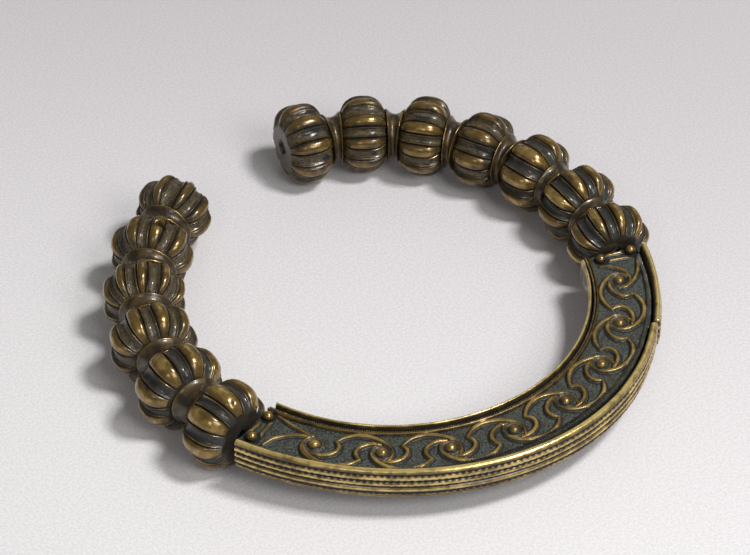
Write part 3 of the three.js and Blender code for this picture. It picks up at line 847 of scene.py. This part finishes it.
def plate_relief(run, across):
    """Rise, polish, and grime with painted shade, over the plate's top, at lengths along it and
    distances across it.
    """
    bosses, lines = scroll_lines()
    count = sum(len(points) for points, _, _ in lines)
    tree = KDTree(count)
    widths, heights = [], []
    for points, width, height in lines:
        for k, point in enumerate(points):
            tree.insert((point[0], point[1], 0), len(widths))
            to_end = min(k, len(points) - 1 - k) / len(points)
            taper = 0.7 + 0.3 * min(1, to_end * 6)
            widths.append(width * taper)
            heights.append(height * taper)
    tree.balance()
    found = [tree.find((r, a, 0)) for r, a in zip(run.ravel(), across.ravel())]
    away = np.array([f[2] for f in found]).reshape(run.shape)
    which = np.array([f[1] for f in found])
    half = LINE_HALF_WIDTH * np.array(widths)[which].reshape(run.shape)
    high = LINE_RISE * np.array(heights)[which].reshape(run.shape)
    crest = smoothstep(1.25, 0.45, away / half)
    rise = high * crest
    polish = smoothstep(0.4, 0.95, crest) * (0.55 + 0.5 * high / LINE_RISE)
    # Painted shadow: a near-black band along both sides of each raised line, in a slight dip.
    flank = np.exp(-((away / half - 1.35) / 0.35) ** 2)
    grime_and_shade = 0.66 + 0.4 * flank - 0.66 * polish
    rise = rise - 0.10 * flank

    flat = np.stack([run, across, np.zeros(run.shape)], axis=-1).reshape(-1, 3)
    punched = clouds(flat, 0.62, 21, 2).reshape(run.shape)
    rolling = clouds(flat, 3.0, 25, 2).reshape(run.shape)
    ground = 1 - crest
    rise = rise + ground * (0.13 * punched + 0.10 * rolling)
    polish = polish + ground * smoothstep(0.35, 0.9, punched) * 0.35

    for boss in bosses:
        reach = np.hypot(run - boss, across)
        dome = np.sqrt(np.clip(1 - (reach / BOSS_RADIUS) ** 2, 0, 1))
        ring = np.exp(-((reach - BOSS_RING_RADIUS) / 0.25) ** 2)
        dish = smoothstep(DISH_RADIUS, DISH_FLOOR_RADIUS, reach)
        rise = np.where(reach < DISH_RADIUS, rise * (1 - dish) + dish * 0.12, rise)
        rise = rise + BOSS_RISE * dome + 0.42 * ring
        # A near-black ring painted as shade round the foot of each boss.
        seat = np.exp(-((reach - BOSS_RADIUS) / 0.18) ** 2)
        polish = np.maximum(polish * (1 - dish), np.maximum(dome ** 0.5, 0.55 * ring))
        grime_and_shade = np.where(reach < 2.9, 0.55 - 0.5 * dome, grime_and_shade)
        grime_and_shade = np.maximum(grime_and_shade, 1.1 * seat)
    return rise, polish, grime_and_shade


def milled(run, low, high, across, rise):
    """A raised strip cut across by fine ticks: where it is, its rise, and 1 in each cut."""
    inside = smoothstep(low - 0.12, low + 0.12, across) * smoothstep(high + 0.12, high - 0.12, across)
    tick = 0.5 + 0.5 * np.cos(2 * math.pi * run / TICK_LENGTH)
    return inside, inside * (rise - 0.5 * tick), tick


def plate_piece():
    angle = np.linspace(PLATE_START, PLATE_END, PLATE_STEPS + 1)[:, None]
    share = (angle - PLATE_START) / (PLATE_END - PLATE_START)
    outer = PLATE_OUTER + PLATE_WIDENING * smoothstep(265, 332, angle)
    column = np.linspace(0, 1, PLATE_COLUMNS)[None, :]
    across = PLATE_INNER + (outer - PLATE_INNER) * column
    slanted = angle + PLATE_END_SLANT * share * across
    run = np.radians(slanted - PLATE_START) * RING_RADIUS
    rise, polish, grime_and_shade = plate_relief(run, across)

    # Borders: ticks and a smooth ridge along the inner side, a wide row of ticks along the outer.
    ridge_start = PLATE_INNER + INNER_MILL_WIDTH
    inside, lift, tick = milled(run, PLATE_INNER, ridge_start, across, 1.15)
    rise = rise * (1 - inside) + lift
    polish = polish * (1 - inside) + inside * 0.75 * (1 - tick)
    # Each cut is painted near black as shade.
    grime_and_shade = grime_and_shade * (1 - inside) + inside * (0.15 + 0.95 * tick)
    dome = half_round(place_between(ridge_start, PLATE_INNER + INNER_RIDGE_END, across))
    rise = np.maximum(rise, dome * 1.25)
    polish = np.maximum(polish, dome * 0.7)
    grime_and_shade = grime_and_shade * (1 - dome)
    low = outer - OUTER_MILL_WIDTH
    inside, lift, tick = milled(run, low, outer - 0.05, across, 0.95)
    bulge = half_round(place_between(low - 0.1, outer + 0.05, across))
    rise = rise * (1 - inside) + lift * (0.55 + 0.45 * bulge)
    polish = polish * (1 - inside) + inside * 0.42 * bulge * (1 - tick)
    # Each cut is painted near black as shade.
    grime_and_shade = grime_and_shade * (1 - inside) + inside * (0.3 + 0.8 * tick)
    # A shallow gully beside the outer strip, painted near black as shade.
    gully = np.exp(-((across - (low - 0.25)) / 0.2) ** 2)
    rise = rise - 0.15 * gully
    grime_and_shade = np.maximum(grime_and_shade, 0.95 * gully)

    # Round each rivet head a flat seat, painted near black as shade.
    for _, rivet_angle, offset in RIVETS:
        reach = np.hypot(np.radians(slanted - rivet_angle) * RING_RADIUS, across - offset)
        seat = smoothstep(RIVET_SEAT_RADIUS, RIVET_SEAT_RADIUS - 0.6, reach)
        rise = rise * (1 - seat) - 0.05 * seat
        polish = polish * (1 - seat)
        grime_and_shade = np.maximum(grime_and_shade, seat)

    height = FIELD_HEIGHT + rise
    skirt = [(outer, 14.0), (outer, 12.6), (0, 12.55), (PLATE_INNER, 12.6), (PLATE_INNER, 14.0)]
    side = np.hstack([np.broadcast_to(place, angle.shape) for place, _ in skirt])
    side_height = np.array([top for _, top in skirt])
    side_angle = angle + PLATE_END_SLANT * share * side
    points = np.concatenate([
        on_ring(slanted, across, height), on_ring(side_angle, side, side_height)], axis=1)
    # The plate's sides are painted near black as shade.
    marks = dict(
        polish=np.hstack([polish, np.zeros(side.shape)]),
        grime_and_shade=np.hstack([grime_and_shade, np.full(side.shape, JOINT_SHADE)]),
        tone=np.full((len(angle), points.shape[1]), 0.85),
    )
    piece = grid_piece("scroll_plate", points, marks, PLATE_BRASS, "scroll_plate")


# ---------------------------------------------------------------- rivets

def rivet_piece(name, angle, offset, seed):
    """A domed head, a little uneven from the hammer, on a short shank."""
    around = np.linspace(0, 2 * math.pi, 40, endpoint=False)[None, :]
    lean = np.radians(np.linspace(2, 90, 20))[:, None]
    reach = RIVET_RADIUS * np.cos(lean[::-1])
    height = RIVET_RISE * np.sin(lean[::-1])
    reach = np.vstack([reach, [[RIVET_RADIUS * 0.97], [1.0], [1.0]]])
    height = np.vstack([height, [[-0.1], [-0.15], [-2.0]]])
    middle = on_ring(angle, offset, RIVET_BASE)
    points = np.stack(np.broadcast_arrays(
        middle[0] + reach * np.cos(around), middle[1] + reach * np.sin(around),
        middle[2] + height), axis=-1).copy()
    points[..., 2] += 0.1 * clouds(points.reshape(-1, 3) + seed, 1.4, 31, 2).reshape(reach.shape[0], -1)
    polish = np.broadcast_to(np.clip(height / RIVET_RISE, 0, 1) ** 0.5, points.shape[:2])
    marks = dict(polish=polish, grime_and_shade=0.7 * (1 - polish), tone=np.full(polish.shape, 0.5))
    piece = grid_piece(name, points, marks, RIVET_BRASS, name)


# ---------------------------------------------------------------- build

build_arm(LEFT_ARM, 1)
build_arm(RIGHT_ARM, 11)
bar_piece()
plate_piece()
for seed, (name, angle, offset) in enumerate(RIVETS):
    rivet_piece(name, angle, offset, seed * 9.0)

# ---------------------------------------------------------------- floor, light and camera

CAMERA_AZIMUTH = -36.0
CAMERA_ELEVATION = 40.12
CAMERA_DISTANCE = 808.2
CAMERA_TARGET = Vector((10.102, 17.843, 0.0))
CAMERA_LENS = 123.7
# Floor colour near the camera and on the far side: a painted falloff of light.
FLOOR_LIT_NEAR = colour(234, 231, 232)
FLOOR_DIM_FAR = colour(203, 198, 201)
PAPER_GRAIN = colour(120, 116, 118)
PAPER_GRAIN_SHARE = 0.18


def seen_from_camera(right, away, up):
    """A direction given as right of the camera, away from it and up, in the CAD frame."""
    turn = math.radians(CAMERA_AZIMUTH)
    return Vector((right * math.cos(turn) - away * math.sin(turn),
                   right * math.sin(turn) + away * math.cos(turn), up))


def add_floor():
    """Pale paper with a fine grain, with a painted falloff of light: lighter near the camera, darker
    towards the far side.
    """
    nodes = Nodes("pale floor")
    grain = nodes.noise(0.8, detail=2)
    apart = nodes.tree.nodes.new("ShaderNodeSeparateXYZ")
    nodes.put(nodes.place, apart.inputs[0])
    far = seen_from_camera(0.45, 1, 0)
    away = nodes.math("ADD", nodes.math("MULTIPLY", apart.outputs[0], far.x),
                      nodes.math("MULTIPLY", apart.outputs[1], far.y))
    # Painted falloff of light across the floor.
    paper = nodes.mix(nodes.ramp(away, -0.14, 0.24), FLOOR_LIT_NEAR, FLOOR_DIM_FAR)
    dark_paper = nodes.mix(PAPER_GRAIN_SHARE, paper, PAPER_GRAIN)
    nodes.put(nodes.mix(nodes.ramp(grain, 0.3, 0.7), dark_paper, paper),
              nodes.shader.inputs["Base Color"])
    nodes.shader.inputs["Roughness"].default_value = 0.85
    bpy.ops.mesh.primitive_plane_add(size=6)
    floor = bpy.context.object
    floor.name = "floor"
    floor.data.materials.append(nodes.material)


def add_light(name, direction, distance, width, height, watts):
    data = bpy.data.lights.new(name, "AREA")
    data.shape = "RECTANGLE"
    data.size, data.size_y = width * MM, height * MM
    data.energy = watts
    light = bpy.data.objects.new(name, data)
    bpy.context.scene.collection.objects.link(light)
    light.location = direction.normalized() * distance * MM
    light.rotation_euler = (-direction).to_track_quat("-Z", "Y").to_euler()


def add_camera():
    data = bpy.data.cameras.new("camera")
    data.lens = CAMERA_LENS
    data.sensor_width = 36
    camera = bpy.data.objects.new("camera", data)
    bpy.context.scene.collection.objects.link(camera)
    lift = math.radians(CAMERA_ELEVATION)
    back = seen_from_camera(0, -math.cos(lift), math.sin(lift))
    camera.location = (CAMERA_TARGET + back * CAMERA_DISTANCE) * MM
    camera.rotation_euler = (-back).to_track_quat("-Z", "Y").to_euler()
    data.clip_start, data.clip_end = 0.05, 10
    bpy.context.scene.camera = camera


add_floor()
add_light("key", seen_from_camera(0.45, -0.1, 0.88), 1500, 300, 300, 16.5)
add_light("side", seen_from_camera(0.5, -0.62, 0.72), 1500, 650, 650, 8.6)
add_light("front", seen_from_camera(-0.2, -0.75, 0.62), 1800, 420, 420, 2.6)
add_light("back", seen_from_camera(0.1, 0.8, 0.6), 1800, 700, 300, 0.8)
world = bpy.data.worlds.new("room")
world.use_nodes = True
world.node_tree.nodes["Background"].inputs["Color"].default_value = (1, 0.98, 0.95, 1)
world.node_tree.nodes["Background"].inputs["Strength"].default_value = 0.16
bpy.context.scene.world = world
bpy.context.scene.view_settings.view_transform = "Standard"
add_camera()
